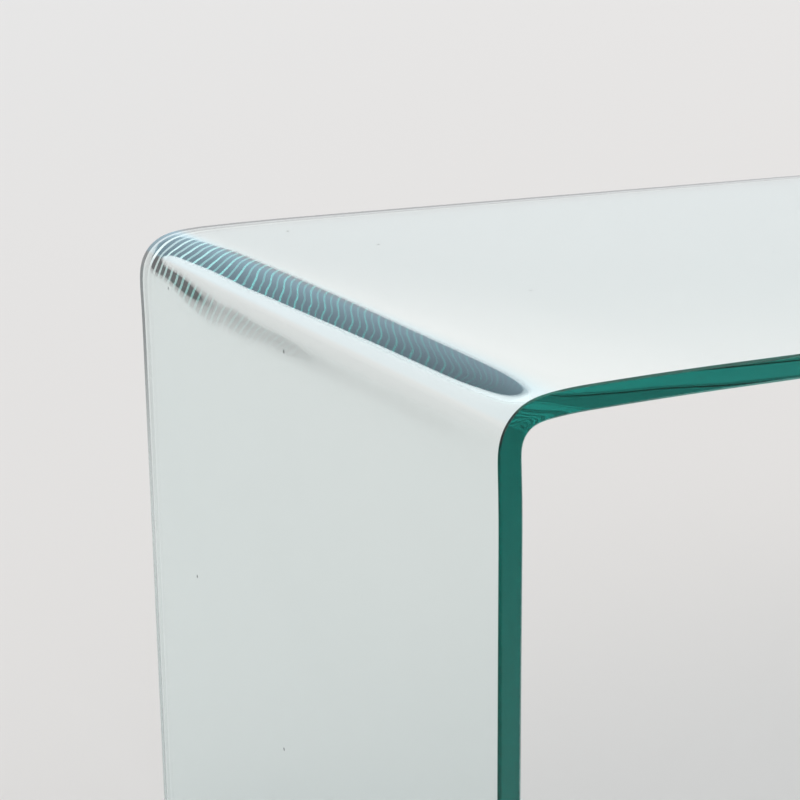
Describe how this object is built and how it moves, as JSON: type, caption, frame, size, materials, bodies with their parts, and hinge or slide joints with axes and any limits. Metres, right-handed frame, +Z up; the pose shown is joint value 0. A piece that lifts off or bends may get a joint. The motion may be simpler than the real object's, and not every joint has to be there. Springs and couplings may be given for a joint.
{
  "type": "coffee table",
  "caption": "Waterfall coffee table of clear bent glass: a flat top that curves down at both ends into full-depth panel legs, with polished edges and small clear bumpers under the legs.",
  "frame": {"origin": "on the floor under the middle of the table, at the bottom centre of its bounding box", "axes": "+X along the table's length from left leg to right leg, +Z up, -Y is the front"},
  "size_m": [1.0016, 0.5, 0.43],
  "materials": {
    "clear_glass": "clear float glass, fire polished faces, ground and polished edges",
    "clear_bumper": "clear soft polyurethane",
    "clear_tape": "clear acrylic tape"
  },
  "bodies": {
    "root": {"glass_sheet": "clear_glass", "bumper_front_left": "clear_bumper", "bumper_middle_left": "clear_bumper", "bumper_back_left": "clear_bumper", "bumper_front_right": "clear_bumper", "bumper_middle_right": "clear_bumper", "bumper_back_right": "clear_bumper", "tape_disc_front_left": "clear_tape", "tape_disc_middle_left": "clear_tape", "tape_disc_back_left": "clear_tape", "tape_disc_front_right": "clear_tape", "tape_disc_middle_right": "clear_tape", "tape_disc_back_right": "clear_tape"}
  },
  "joints": []
}
